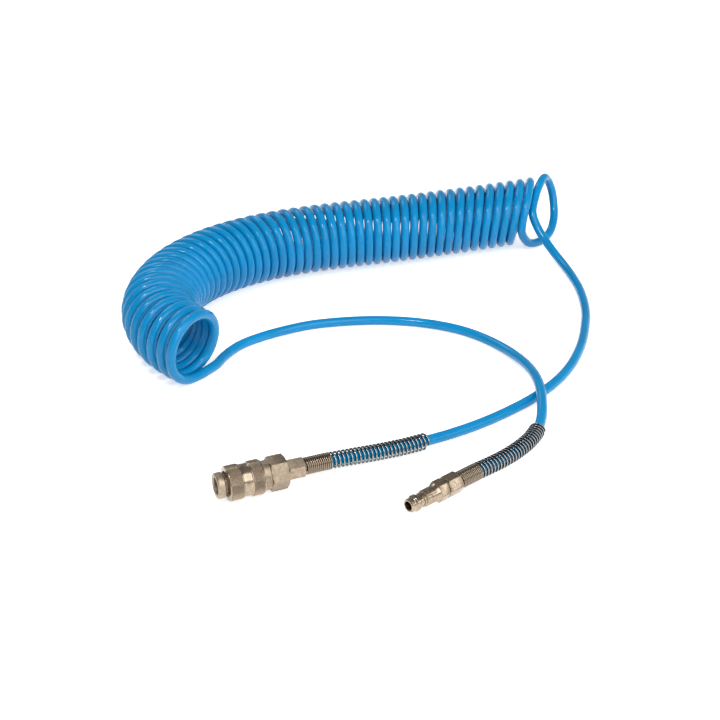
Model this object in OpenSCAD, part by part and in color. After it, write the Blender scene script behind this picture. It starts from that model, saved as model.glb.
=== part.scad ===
// Coiled air hose: a polyurethane recoil hose with a quick coupler on one end and a plug on the
// other, each with a bend-guard spring. Sizes are in millimetres and +Z is up. The hose and its
// fittings lie on the plane z = 0. The coupler points along -X, and the origin is under the
// middle of the two end fittings.

/* [Hose] */
// Outer diameter of the hose
hose_d = 8; // [6:0.5:8]
// Mean radius of the coil's turns
coil_r = 27.5; // [23:0.5:29]
// Number of turns in the coil
coil_turns = 49.75; // [45.75:1:49.75]

/* [Coupler barrel] */
// Bore that takes a plug
mouth_d = 12.2; // [11.8:0.1:12.6]
// Wall of the barrel behind its lip
barrel_wall = 1.65; // [1.5:0.05:1.9]
// Length of the barrel
barrel_l = 33; // [32:0.5:35]
// How far the lip stands out from the barrel
lip_rise = 1.55; // [0.8:0.05:2.2]
// Length of the lip
lip_l = 5.5; // [4:0.5:6.5]
// Chamfer at the mouth and on the lip
lip_chamfer = 0.7; // [0.2:0.1:1]

/* [Coupler sleeve] */
// Room between the barrel and the sleeve, for the sleeve's spring
spring_room = 2.33; // [2.1:0.01:2.8]
// Wall of the sleeve around the neck that it runs over
sleeve_wall = 1.85; // [1.65:0.05:2.2]
// Length of the sleeve
sleeve_l = 26; // [24:0.5:29]
// Gap between the lip and the sleeve
sleeve_gap = 2; // [1.2:0.1:2.8]
// How far the sleeve pulls back
sleeve_travel = 4.8; // [4:0.1:5.2]
// Length of the gripped band in front of the smooth groove
front_band_l = 10; // [7:0.5:12]
// Width of the smooth groove
sleeve_groove_w = 7; // [4:0.5:9]
// Depth of the smooth groove
sleeve_groove_depth = 1; // [0.4:0.1:1.2]

/* [Locking balls] */
// Diameter of a ball
ball_d = 3; // [2.8:0.1:3.2]
// How far a locked ball stands into the bore
ball_reach = 1.25; // [1:0.05:1.3]

/* [Coupler body] */
// How far the hexagon's corners stay inside the sleeve's outside
hex_inset = 0.05; // [0:0.05:0.3]
// Length of the coupler's hexagon
body_hex_l = 13; // [11:0.5:16]
// Depth of the valve chamber behind the barrel
chamber_l = 12; // [11.5:0.5:13]

/* [Valve] */
// How far the valve slides back
valve_travel = 3.4; // [2.8:0.1:3.6]
// Wall of the valve
valve_wall = 1.9; // [1.5:0.1:2.2]
// Ports in the side of the valve
valve_port_d = 3.4; // [2:0.1:4]

/* [Plug] */
// How far the plug's sealing nose is inside the mouth's bore
nose_inset = 1.1; // [0.9:0.05:1.3]
// Wall of the plug's sealing nose
nose_wall = 1.5; // [1.3:0.1:2.5]
// Length of the plug's hexagon
plug_hex_l = 8; // [5:0.5:10]

/* [Union nuts] */
// Width across flats of the union nuts and of the plug's hexagon
nut_af = 14; // [13.6:0.1:16]
// Length of a union nut's hexagon
nut_l = 12.5; // [11:0.5:14]
// Diameter of the thread under a union nut
nut_thread_d = 12; // [11:0.5:12]
// Outside of the nipple that the hose is pushed over
nipple_d = 5; // [4.4:0.1:5.4]
// Air bore through a nipple
nipple_bore_d = 3.5; // [2.5:0.1:3.6]

/* [Bend-guard springs] */
// Outer diameter of the springs
guard_d = 13; // [12.8:0.1:13.4]
// Wire of the springs
guard_wire_d = 1.5; // [1.2:0.1:1.6]
// Curls in the close end of a spring
guard_close_curls = 7; // [6:1:7]
// Curls in the open part of a spring
guard_open_curls = 13; // [10:1:13]

/* [Hidden] */
$fn = 64;

hose_blue = "DodgerBlue";
nickel = "BurlyWood";
steel = "LightSlateGray";
rubber = "DimGray";

// Clearances, radial unless said otherwise
sleeve_fit = 0.12;   // sleeve on the barrel
neck_fit = 0.3;      // sleeve over the neck
cam_fit = 0.02;      // ball to the sleeve's cam
ball_fit = 0.05;     // ball in its hole
plug_fit = 0.1;      // plug in the mouth
valve_fit = 0.2;     // valve in the barrel
hose_fit = 0.2;      // hose in a union nut
guard_fit = 0.1;     // spring on a union nut's spigot
seal_fit = 0.05;     // seal in its groove
lock_fit = 0.1;      // locked ball to the bottom of the plug's groove
seal_squeeze = 0.2;  // bore seal on the plug's nose
stop_gap = 0.2;      // along the axis, pulled-back sleeve to the hexagon
seat_gap = 0.02;     // along the axis, valve seal to the barrel's end
nut_gap = 1;         // along the axis, hexagon to union nut
edge = 0.8;          // chamfer on the sleeve and the hexagons
hex_face_inset = 0.2; // round end face of a hexagon inside its flats

// Diameters, from the mouth's bore outwards and from it to the plug's bore
neck_step = 0.4;     // room for the spring inside the neck's outside, radial
barrel_d = mouth_d + 2 * barrel_wall;
lip_d = barrel_d + 2 * lip_rise;
neck_d = barrel_d + 2 * (sleeve_fit + spring_room + neck_step);
sleeve_d = neck_d + 2 * (neck_fit + sleeve_wall);
body_af = (sleeve_d - 2 * hex_inset) * cos(30);
plug_nose_d = mouth_d - 2 * nose_inset;
plug_bore_d = plug_nose_d - 2 * nose_wall;

// Plug, along its axis from its tip: nose, locking ridge, ball groove, ring, neck and shank
nose_rear = 3.6;
ridge_front = 4.9;
ridge_rear = 7.3;
groove_front = 8.6;
groove_rear = 11.6;
ring_rear = 12.8;
neck_rear = 13.6;
shank_front = 14.2;
shank_rear = 22.5;
plug_hex_front = 25.5;
plug_hex_rear = plug_hex_front + plug_hex_l;
bore_in_hex = 2;     // length of the wide bore inside the hexagon
plug_bore_rear = plug_hex_front + bore_in_hex;
shank_r = mouth_d / 2 - plug_fit;
ball_groove_r = mouth_d / 2 - ball_reach - lock_fit;
ring_r = (shank_r + ball_groove_r) / 2;
tip_chamfer = 0.6;

// Coupler, along its axis from the lip's front edge
sleeve_front = lip_l + sleeve_gap;
sleeve_rear = sleeve_front + sleeve_l;
cam_margin = 0.45;   // cam left in front of the balls when the sleeve is back
ball_at = sleeve_front + sleeve_travel + cam_margin;
mouth_rear = ball_at - ball_d / 2 - 0.55;
mouth_relief = 0.2;  // wider bore behind the mouth's guiding wall, radial
socket_l = 6;
neck_front = barrel_l - socket_l;
hex_front = sleeve_rear + sleeve_travel + stop_gap;
hex_rear = hex_front + body_hex_l;
chamber_rear = barrel_l + chamber_l;
plugged_tip = ball_at + (groove_front + groove_rear) / 2;

// Cam inside the sleeve: it lets the balls move out as the sleeve comes back
ball_count = 6;
ball_orbit_r = mouth_d / 2 + ball_d / 2 - ball_reach;
cam_slope = ball_reach / sleeve_travel;
cam_r = ball_orbit_r + (ball_d / 2 + cam_fit) / cos(atan(cam_slope));
cam_mouth_r = cam_r + cam_slope * (ball_at - sleeve_front);
land_r = barrel_d / 2 + sleeve_fit;
land_front = ball_at + max(0, (cam_r - land_r) / cam_slope);
land_l = 3.75;       // from the balls back
land_rear = ball_at + land_l;
cavity_r = neck_d / 2 - neck_step;
cavity_rear = neck_front - sleeve_travel - 0.4;

// Seal in the barrel's bore, on the plug's nose when a plug is in
seal_groove_share = 0.6; // of the barrel's wall
seal_d = seal_squeeze - plug_nose_d / 2 + mouth_d / 2
    + seal_groove_share * (barrel_d - mouth_d) / 2;
seal_ring_r = plug_nose_d / 2 - seal_squeeze + seal_d / 2;
seal_at = plugged_tip - nose_rear / 2;

// Valve: a plug pushes it off its seat, and its ports come out behind the barrel
valve_slack = 0.4;
valve_front = plugged_tip - valve_travel + valve_slack;
valve_nose_r = plug_nose_d / 2 - seal_squeeze - 0.1;
valve_nose_rear = seal_at + seal_d;
valve_r = mouth_d / 2 - valve_fit;
valve_bore_r = valve_r - valve_wall;
valve_port_count = 4;
valve_port_at = barrel_l - valve_port_d / 2 - 0.3;
chamber_r = barrel_d / 2 - 0.25;
valve_seal_d = 0.75 * (chamber_r - valve_r);
valve_head_r = (valve_r + chamber_r) / 2;
valve_head_front = barrel_l + seat_gap + valve_seal_d;
valve_head_l = 2.7;
valve_head_rear = valve_head_front + valve_head_l;
valve_stub_r = valve_bore_r;
valve_stub_l = 2;
valve_stub_rear = valve_head_rear + valve_stub_l;

// Springs inside the coupler
sleeve_wire_d = (cavity_r - land_r) / 2;
sleeve_spring_r = (land_r + cavity_r) / 2;
valve_wire_d = (chamber_r - valve_stub_r) / 4;
valve_spring_r = (valve_stub_r + chamber_r) / 2;
inner_curls = 3.5;

// Union nut and what is under it, along the axis from the rear face of the hexagon
boss_l = 3.5;
thread_l = 5;
cone_l = 2;
spigot_l = 5.5;
nut_rear = nut_gap + nut_l;
boss_rear = nut_gap + boss_l;
nut_thread_rear = nut_gap + thread_l;
nut_cone_rear = nut_thread_rear + cone_l;
nut_bore_r = hose_d / 2 + hose_fit;
spigot_r = guard_d / 2 - guard_wire_d - guard_fit;
spigot_rear = nut_rear + spigot_l;
barb_count = 3;
barb_l = (nut_rear - boss_rear) / barb_count;
barb_depth = 0.3;

// Where the fittings lie
coupler_front = [-127, 29.5, sleeve_d / 2];
coupler_nut_rear = coupler_front + [hex_rear + nut_rear, 0, 0];
coupler_hose_end = coupler_front + [hex_rear + boss_rear, 0, 0];
plug_nut_rear = [34, -22.5, nut_af / 2];
plug_turn = 18.5;
plug_dir = [cos(plug_turn), sin(plug_turn), 0];
plug_tip = plug_nut_rear - (plug_hex_rear + nut_rear) * plug_dir;
plug_hose_end = plug_nut_rear - (nut_rear - boss_rear) * plug_dir;

// Route of the coil's axis from its right end to its left end: x, y, how far the turns lean
// back from upright, and how far they are turned from square to the route, in degrees
coil_route = [
    [294, 352.5, 13, 33], [261.5, 353, 10.5, 29], [230, 354.5, 8, 24.5],
    [200.5, 356.5, 5.5, 20.5], [171.5, 358.5, 4, 17], [143.5, 361.5, 3, 13],
    [115.5, 365, 1.5, 9.5], [87.5, 368, 0.5, 6], [57, 369.5, 0, 3], [25.5, 367.5, 0, -1],
    [-6, 361, 0, -4.5], [-36.5, 348.5, 0, -7], [-65, 328, 0, -9], [-86, 301.5, 0, -9],
    [-100, 269, -1, -8.5], [-100, 228.5, -5, -7.5], [-87, 198, -9, -7]
];

// Route of the lead from the coupler's nut to the coil's right end
coupler_route = [
    [-43, 29.5, 12.75], [-23, 30, 11.5], [-3, 31.5, 9.5], [17, 33.5, 7.75], [37, 36, 6.75],
    [57, 39.5, 5.5], [78, 44, 4.5], [99, 49.5, 4], [120, 56, 4], [141, 64, 4], [161, 74, 4],
    [181, 86.5, 4], [199, 101, 4], [216, 118, 4], [232, 137, 4], [247, 158, 4], [261, 180, 4],
    [273, 204, 4], [283, 229, 4], [290, 253, 4], [294, 274.5, 5.5], [294.5, 293.5, 9.75],
    [292.5, 308.5, 17.25], [290, 321, 27], [290, 331.5, 38], [298, 342, 48], [308.5, 353, 55.5],
    [319, 363, 58], [327, 369.5, 52.5], [332.5, 370, 41.5], [333, 365, 29], [329, 356, 17],
    [320.5, 346.5, 8.5], [309, 338.5, 4.9], [297, 333, 4.7], [286.5, 329.5, 7.75],
    [279.5, 327, 15]
];

// Route of the lead from the plug's nut to the coil's left end
plug_route = [
    [52, -16.5, 7], [72, -10.5, 6.75], [90, -3.5, 6.75], [107, 6, 6.75], [121.5, 18, 6.75],
    [132.5, 31.5, 8], [141.5, 47, 10.5], [149.5, 64, 12.5], [156.5, 84, 12], [161.5, 105, 9.5],
    [164, 127, 6.5], [163, 149, 4.5], [157, 171, 4], [147, 191, 4], [133, 208, 4],
    [116, 222.5, 4], [97, 234, 4], [76, 243, 4], [53, 249.5, 4], [30, 253, 4], [7, 252, 4],
    [-15, 248.5, 4], [-34, 242.5, 4], [-46.5, 235, 4], [-57.5, 225.5, 4], [-67, 215.5, 4]
];
guard_end = 6;       // the point of a lead, counted from 0, where its spring ends

// Facets of the wound tubes
curl_rings = 8;
curl_sides = 6;
inner_sides = 5;
lead_sides = 10;

// ---- Curves ----

function unit(v) = v / norm(v);
function end_of(list) = list[len(list) - 1];

// Point i of a route, with one more point in line past each end
function knot(route, i) =
    i < 0 ? 2 * route[0] - route[1]
    : i >= len(route) ? 2 * end_of(route) - route[len(route) - 2]
    : route[i];

// Uniform cubic B-spline beside the route's points, from its first point to its last
function beside(route, t) =
    let (i = min(floor(t), len(route) - 2), w = t - i)
    (
        (1 - w) ^ 3 * knot(route, i - 1)
        + (3 * w ^ 3 - 6 * w ^ 2 + 4) * knot(route, i)
        + (-3 * w ^ 3 + 3 * w ^ 2 + 3 * w + 1) * knot(route, i + 1)
        + w ^ 3 * knot(route, i + 2)
    ) / 6;

// Catmull-Rom curve through the route's points
function through(route, t) =
    let (
        i = min(floor(t), len(route) - 2),
        w = t - i,
        a = knot(route, i - 1),
        b = knot(route, i),
        c = knot(route, i + 1),
        d = knot(route, i + 2)
    )
    (
        2 * b + (c - a) * w + (2 * a - 5 * b + 4 * c - d) * w ^ 2
        + (3 * b - a - 3 * c + d) * w ^ 3
    ) / 2;

// Least gap between neighbouring turns of a wound tube, from points 32 to the turn
gap_steps = 32;
function least_gap(points, d) =
    min([
        for (i = [0 : len(points) - 1 - gap_steps], j = [i + 20 : i + gap_steps])
            norm(points[i] - points[j])
    ]) - d;

// ---- Tubes swept along points ----

// Heading at point i: the bisector of the steps before and after it
function bisector(points, i) =
    unit(unit(points[i + 1] - points[i]) + unit(points[i] - points[i - 1]));
function headings(points, first, last) = [
    for (i = [0 : len(points) - 1])
        i == 0 ? first : i == len(points) - 1 ? last : bisector(points, i)
];
function square_to(v, heading) = unit(v - (v * heading) * heading);

// A vector carried along the headings without twist
function carried(dirs, v) = [
    for (i = 0, n = square_to(v, dirs[0]); i < len(dirs);
        i = i + 1, n = i < len(dirs) ? square_to(n, dirs[i]) : n) n
];

// One unbroken closed tube. marks: a vector across the tube at each point, to its first side
module tube(points, dirs, marks, d, sides) {
    rings = [
        for (i = [0 : len(points) - 1])
            let (u = square_to(marks[i], dirs[i]), v = cross(dirs[i], u))
            for (k = [0 : sides - 1])
                points[i] + d / 2 * (cos(360 * k / sides) * u + sin(360 * k / sides) * v)
    ];
    walls = [
        for (i = [0 : len(points) - 2], k = [0 : sides - 1])
            let (a = i * sides + k, b = i * sides + (k + 1) % sides)
            each [[a, a + sides, b], [b, a + sides, b + sides]]
    ];
    z = (len(points) - 1) * sides;
    caps = [
        for (k = [1 : sides - 2]) each [[0, k, k + 1], [z, z + k + 1, z + k]]
    ];
    polyhedron(points = rings, faces = concat(walls, caps));
}

// ---- The hose ----

// The hose winds right-handed. It rises on the near side at the right end, and ends on the floor
// at the left end. Each turn leans and is turned: its top and its far side are set back along
// the coil's axis.
function coil_angle(turn) = 180 - 360 * turn;
function coil_t(turn) = turn / coil_turns * (len(coil_route) - 1);
function coil_axis_heading(turn) =
    let (
        t = coil_t(turn),
        step = beside(coil_route, min(t + 0.001, len(coil_route) - 1))
            - beside(coil_route, max(t - 0.001, 0))
    )
    unit([step.x, step.y, 0]);
function coil_mark(turn) =
    let (h = coil_axis_heading(turn), a = coil_angle(turn))
    [h.y * cos(a), -h.x * cos(a), sin(a)];
function coil_point(turn) =
    let (
        c = beside(coil_route, coil_t(turn)),
        a = coil_angle(turn),
        set_back = tan(c.z) * sin(a) + tan(c[3]) * cos(a)
    )
    [c.x, c.y, coil_r + hose_d / 2]
        + coil_r * (coil_mark(turn) - set_back * coil_axis_heading(turn));
function coil_steps(rings) = [for (i = [0 : coil_turns * rings]) i / rings];

coil_start_dir = unit(coil_point(0.001) - coil_point(0));
coil_end_dir = unit(coil_point(coil_turns) - coil_point(coil_turns - 0.001));
coil_start = coil_point(0) - hose_d * coil_start_dir;
coil_end = coil_point(coil_turns) + hose_d * coil_end_dir;
coupler_points = concat(
    [coupler_hose_end, coupler_nut_rear], coupler_route, [coil_start]
);
plug_points = concat([plug_hose_end, plug_nut_rear], plug_route, [coil_end]);
echo(coil_gap = least_gap([for (u = coil_steps(gap_steps)) coil_point(u)], hose_d));

module hose_coil() {
    turns = coil_steps(curl_rings);
    points = concat([coil_start], [for (u = turns) coil_point(u)], [coil_end]);
    marks = concat(
        [coil_mark(0)], [for (u = turns) coil_mark(u)], [coil_mark(coil_turns)]
    );
    dirs = headings(points, coil_start_dir, coil_end_dir);
    color(hose_blue) tube(points, dirs, marks, hose_d, curl_sides);
}

module lead(points, first, last) {
    dirs = headings(points, first, last);
    color(hose_blue) tube(points, dirs, carried(dirs, [0, 0, 1]), hose_d, lead_sides);
}

module coupler_lead() {
    lead(coupler_points, [1, 0, 0], coil_start_dir);
}

module plug_lead() {
    lead(plug_points, plug_dir, -coil_end_dir);
}

// ---- Springs ----

// Bend guard: it winds round a lead from the nut's rear face to the lead's point guard_end,
// close over the first step and open over the rest. Its wire starts and ends along the hose.
guard_turns = guard_close_curls + guard_open_curls;
function guard_t(points, turn) =
    let (start = 1 + guard_wire_d / norm(points[2] - points[1]))
    turn < guard_close_curls
    ? start + (2 - start) * turn / guard_close_curls
    : 2 + (guard_end - 2) * (turn - guard_close_curls) / guard_open_curls;
function guard_heading(points, turn) =
    let (t = guard_t(points, turn))
    unit(through(points, t + 0.01) - through(points, t - 0.01));
function guard_mark(points, turn) =
    let (
        h = guard_heading(points, turn),
        across = unit(cross(h, [0, 0, 1])),
        a = 360 * turn
    )
    cos(a) * across - sin(a) * cross(across, h);
function guard_point(points, turn) =
    through(points, guard_t(points, turn))
        + (guard_d - guard_wire_d) / 2 * guard_mark(points, turn);
function guard_helix(points, rings) =
    [for (i = [0 : guard_turns * rings]) guard_point(points, i / rings)];

module bend_spring(lead_points) {
    first = guard_heading(lead_points, 0);
    last = guard_heading(lead_points, guard_turns);
    helix = guard_helix(lead_points, curl_rings);
    points = concat(
        [helix[0] - guard_wire_d * first], helix, [end_of(helix) + guard_wire_d * last]
    );
    marks = concat(
        [guard_mark(lead_points, 0)],
        [for (i = [0 : guard_turns * curl_rings]) guard_mark(lead_points, i / curl_rings)],
        [guard_mark(lead_points, guard_turns)]
    );
    color(steel) tube(points, headings(points, first, last), marks, guard_wire_d, curl_sides);
}

module coupler_bend_spring() {
    bend_spring(coupler_points);
}

module plug_bend_spring() {
    bend_spring(plug_points);
}

echo(coupler_spring_gap = least_gap(guard_helix(coupler_points, gap_steps), guard_wire_d));
echo(plug_spring_gap = least_gap(guard_helix(plug_points, gap_steps), guard_wire_d));

// Compression spring along +z from z = 0
module inner_spring(r, wire_d, length) {
    angles = [for (i = [0 : inner_curls * curl_rings]) 360 * i / curl_rings];
    rise = (length - 2 * wire_d) / (360 * inner_curls);
    helix = [for (a = angles) [r * cos(a), r * sin(a), wire_d + rise * a]];
    top = end_of(helix);
    points = concat([[r, 0, 0]], helix, [[top.x, top.y, length]]);
    marks = [for (p = points) [p.x, p.y, 0]];
    color(steel)
        tube(points, headings(points, [0, 0, 1], [0, 0, 1]), marks, wire_d, inner_sides);
}

module sleeve_spring() {
    at_coupler() translate([0, 0, land_rear])
        inner_spring(sleeve_spring_r, sleeve_wire_d, neck_front - land_rear);
}

module valve_spring() {
    at_coupler() translate([0, 0, valve_head_rear])
        inner_spring(valve_spring_r, valve_wire_d, chamber_rear - valve_head_rear);
}

// ---- Shapes shared by the fittings ----

// These put local +z along the fitting's axis, from its front end to the hose
module at_coupler() {
    translate(coupler_front) rotate([0, 90, 0]) children();
}

module at_plug() {
    translate(plug_tip) rotate([0, 0, plug_turn]) rotate([0, 90, 0]) children();
}

// Hexagon bar with both ends turned to a chamfer, flats square to local x
module hex_bar(af, length) {
    corner_r = af / 2 / cos(30) + 0.1;
    face_r = af / 2 - hex_face_inset;
    intersection() {
        rotate([0, 0, 30]) cylinder(d = af / cos(30), h = length, $fn = 6);
        rotate_extrude()
            polygon([
                [0, 0], [face_r, 0], [corner_r, edge], [corner_r, length - edge],
                [face_r, length], [0, length]
            ]);
    }
}

// Boss and barbed nipple behind a hexagon, under the union nut
module hose_nipple() {
    nipple_r = nipple_d / 2;
    barbs = [
        for (i = [0 : barb_count - 1], step = [0, 1])
            [nipple_r - step * barb_depth, boss_rear + (i + step) * barb_l]
    ];
    rotate_extrude()
        polygon(concat(
            [[0, -edge], [nut_thread_d / 2, -edge], [nut_thread_d / 2, boss_rear]],
            barbs, [[0, nut_rear]]
        ));
}

module union_nut() {
    color(nickel)
        difference() {
            union() {
                translate([0, 0, nut_gap]) hex_bar(nut_af, nut_l);
                cylinder_from(spigot_r, nut_rear - 1, spigot_rear);
            }
            cylinder_from(nut_thread_d / 2, nut_gap - 1, nut_thread_rear);
            translate([0, 0, nut_thread_rear])
                cylinder(
                    r1 = nut_thread_d / 2, r2 = nut_bore_r, h = nut_cone_rear - nut_thread_rear
                );
            cylinder_from(nut_bore_r, nut_cone_rear - 0.5, spigot_rear + 1);
        }
}

module cylinder_from(r, from, to) {
    translate([0, 0, from]) cylinder(r = r, h = to - from);
}

module ring(r, section_d) {
    rotate_extrude() translate([r, 0]) circle(d = section_d, $fn = 32);
}

// ---- Coupler ----

module coupler_barrel() {
    bore_r = mouth_d / 2;
    relief_r = bore_r + mouth_relief;
    lip_r = lip_d / 2;
    groove_r = seal_ring_r + seal_d / 2 + seal_fit;
    groove_half = seal_d / 2 + seal_fit;
    color(nickel) at_coupler()
        difference() {
            rotate_extrude()
                polygon([
                    [bore_r + lip_chamfer, 0], [lip_r - lip_chamfer, 0],
                    [lip_r, lip_chamfer], [lip_r, lip_l - lip_chamfer],
                    [lip_r - lip_chamfer, lip_l], [barrel_d / 2, lip_l],
                    [barrel_d / 2, barrel_l], [relief_r, barrel_l],
                    [relief_r, seal_at + groove_half], [groove_r, seal_at + groove_half],
                    [groove_r, seal_at - groove_half], [relief_r, seal_at - groove_half],
                    [relief_r, mouth_rear], [bore_r, mouth_rear], [bore_r, lip_chamfer]
                ]);
            for (i = [1 : ball_count])
                rotate([0, 0, 360 * i / ball_count])
                    translate([bore_r - 1, 0, ball_at]) rotate([0, 90, 0])
                        cylinder(r = ball_d / 2 + ball_fit, h = barrel_d / 2 - bore_r + 2);
        }
}

module bore_seal() {
    color(rubber) at_coupler() translate([0, 0, seal_at]) ring(seal_ring_r, seal_d);
}

module coupler_sleeve() {
    r = sleeve_d / 2;
    neck_bore_r = neck_d / 2 + neck_fit;
    groove_r = r - sleeve_groove_depth;
    flank = 0.6 * sleeve_groove_depth;
    groove_from = sleeve_front + front_band_l;
    groove_to = groove_from + sleeve_groove_w;
    color(nickel) at_coupler()
        rotate_extrude()
            polygon([
                [cam_mouth_r, sleeve_front], [r - edge, sleeve_front], [r, sleeve_front + edge],
                [r, groove_from], [groove_r, groove_from + flank],
                [groove_r, groove_to - flank], [r, groove_to],
                [r, sleeve_rear - edge], [r - edge, sleeve_rear], [neck_bore_r, sleeve_rear],
                [neck_bore_r, cavity_rear], [cavity_r, cavity_rear], [cavity_r, land_rear],
                [land_r, land_rear], [land_r, land_front]
            ]);
}

module lock_ball(i) {
    color(steel) at_coupler()
        rotate([0, 0, 360 * i / ball_count])
            translate([ball_orbit_r, 0, ball_at]) sphere(d = ball_d);
}

module coupler_body() {
    color(nickel) at_coupler()
        difference() {
            union() {
                cylinder_from(neck_d / 2, neck_front, hex_front + edge);
                translate([0, 0, hex_front]) hex_bar(body_af, body_hex_l);
                translate([0, 0, hex_rear]) hose_nipple();
            }
            cylinder_from(barrel_d / 2, neck_front - 1, barrel_l);
            cylinder_from(chamber_r, barrel_l - 1, chamber_rear);
            cylinder_from(nipple_bore_d / 2, chamber_rear - 1, hex_rear + nut_rear + 1);
        }
}

module valve_poppet() {
    color(nickel) at_coupler()
        difference() {
            rotate_extrude()
                polygon([
                    [plug_bore_d / 2, valve_front], [valve_nose_r, valve_front],
                    [valve_nose_r, valve_nose_rear],
                    [valve_r, valve_nose_rear + valve_r - valve_nose_r],
                    [valve_r, valve_head_front], [valve_head_r, valve_head_front],
                    [valve_head_r, valve_head_rear], [valve_stub_r, valve_head_rear],
                    [valve_stub_r, valve_stub_rear], [0, valve_stub_rear],
                    [0, valve_head_front], [valve_bore_r, valve_head_front],
                    [valve_bore_r, valve_nose_rear + 1],
                    [plug_bore_d / 2, valve_nose_rear + 1]
                ]);
            for (i = [1 : valve_port_count])
                rotate([0, 0, 360 * i / valve_port_count])
                    translate([0, 0, valve_port_at]) rotate([0, 90, 0])
                        cylinder(d = valve_port_d, h = mouth_d / 2);
        }
}

module valve_seal() {
    color(rubber) at_coupler()
        translate([0, 0, valve_head_front - valve_seal_d / 2])
            ring(valve_r + valve_seal_d / 2, valve_seal_d);
}

module coupler_nut() {
    at_coupler() translate([0, 0, hex_rear]) rotate([0, 0, 30]) union_nut();
}

// ---- Plug ----

module plug_body() {
    nose_r = plug_nose_d / 2;
    bore_r = plug_bore_d / 2;
    outlet_r = nipple_bore_d / 2;
    color(nickel) at_plug()
        difference() {
            union() {
                rotate_extrude()
                    polygon([
                        [0, 0], [nose_r - tip_chamfer, 0], [nose_r, tip_chamfer],
                        [nose_r, nose_rear], [shank_r, ridge_front], [shank_r, ridge_rear],
                        [ball_groove_r, groove_front], [ball_groove_r, groove_rear],
                        [ring_r, groove_rear], [ring_r, ring_rear],
                        [ball_groove_r, ring_rear], [ball_groove_r, neck_rear],
                        [shank_r, shank_front], [shank_r, shank_rear],
                        [nut_af / 2 - hex_face_inset, plug_hex_front],
                        [nut_af / 2 - hex_face_inset, plug_hex_front + edge],
                        [0, plug_hex_front + edge]
                    ]);
                translate([0, 0, plug_hex_front]) hex_bar(nut_af, plug_hex_l);
                translate([0, 0, plug_hex_rear]) hose_nipple();
            }
            cylinder_from(bore_r, -1, plug_bore_rear);
            translate([0, 0, plug_bore_rear])
                cylinder(r1 = bore_r, r2 = outlet_r, h = bore_r - outlet_r);
            cylinder_from(outlet_r, plug_bore_rear, plug_hex_rear + nut_rear + 1);
        }
}

module plug_nut() {
    at_plug() translate([0, 0, plug_hex_rear]) union_nut();
}

hose_coil();
coupler_lead();
plug_lead();
coupler_barrel();
bore_seal();
coupler_sleeve();
sleeve_spring();
lock_ball(1);  // lock_ball_1
lock_ball(2);  // lock_ball_2
lock_ball(3);  // lock_ball_3
lock_ball(4);  // lock_ball_4
lock_ball(5);  // lock_ball_5
lock_ball(6);  // lock_ball_6
coupler_body();
valve_poppet();
valve_seal();
valve_spring();
coupler_nut();
coupler_bend_spring();
plug_body();
plug_nut();
plug_bend_spring();
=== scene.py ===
import math

import bpy
from mathutils import Matrix, Vector


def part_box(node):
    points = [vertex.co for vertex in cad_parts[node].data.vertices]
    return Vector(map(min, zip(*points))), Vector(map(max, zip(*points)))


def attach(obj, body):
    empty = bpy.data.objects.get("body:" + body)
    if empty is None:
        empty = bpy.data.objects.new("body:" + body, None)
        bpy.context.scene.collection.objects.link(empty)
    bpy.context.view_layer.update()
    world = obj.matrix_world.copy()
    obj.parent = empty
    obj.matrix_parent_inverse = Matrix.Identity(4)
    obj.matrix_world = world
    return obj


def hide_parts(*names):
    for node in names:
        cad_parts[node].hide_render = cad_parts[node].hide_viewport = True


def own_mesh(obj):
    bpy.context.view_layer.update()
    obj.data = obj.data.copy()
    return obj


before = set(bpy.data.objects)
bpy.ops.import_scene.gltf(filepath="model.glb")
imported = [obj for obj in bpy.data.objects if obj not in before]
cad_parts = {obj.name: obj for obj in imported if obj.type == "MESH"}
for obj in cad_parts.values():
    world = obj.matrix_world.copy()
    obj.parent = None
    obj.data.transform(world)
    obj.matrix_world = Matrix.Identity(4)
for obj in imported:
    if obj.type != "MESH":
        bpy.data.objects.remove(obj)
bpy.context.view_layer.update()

bl_info = {
    "name": "Coiled Air Hose",
    "version": (1, 0, 0),
    "blender": (4, 5, 0),
    "location": "View3D > Sidebar > Air Hose",
    "description": "Dresses a coiled air hose with a quick coupler, a plug and two bend guards",
    "category": "Object",
}

MM = 0.001
UP = Vector((0, 0, 1))

# Places of the fittings; the coupler's length is with its nut
COUPLER_FRONT = Vector((-127, 29.5, 12.75)) * MM
COUPLER_AXIS = Vector((1, 0, 0))
COUPLER_LENGTH = 65 * MM
COUPLER_NUT_REAR = COUPLER_FRONT + COUPLER_LENGTH * COUPLER_AXIS
PLUG_NUT_REAR = Vector((34, -22.5, 7)) * MM
PLUG_TURN = math.radians(18.5)
PLUG_AXIS = Vector((math.cos(PLUG_TURN), math.sin(PLUG_TURN), 0))

# The hose starts inside each union nut, this far in front of the nut's rear face
HOSE_IN_NUT = 9 * MM

# How far the bend-guard springs reach along the hose, from the nuts' rear faces
COUPLER_GUARD = 99.5 * MM
PLUG_GUARD = 97.5 * MM

# Route of the coil's axis from its right end to its left end: x, y, how far the turns lean
# back from upright, and how far they are turned from square to the route, in degrees
COIL_ROUTE = [
    (294, 352.5, 13, 33), (261.5, 353, 10.5, 29), (230, 354.5, 8, 24.5),
    (200.5, 356.5, 5.5, 20.5), (171.5, 358.5, 4, 17), (143.5, 361.5, 3, 13),
    (115.5, 365, 1.5, 9.5), (87.5, 368, 0.5, 6), (57, 369.5, 0, 3), (25.5, 367.5, 0, -1),
    (-6, 361, 0, -4.5), (-36.5, 348.5, 0, -7), (-65, 328, 0, -9), (-86, 301.5, 0, -9),
    (-100, 269, -1, -8.5), (-100, 228.5, -5, -7.5), (-87, 198, -9, -7),
]

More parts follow.
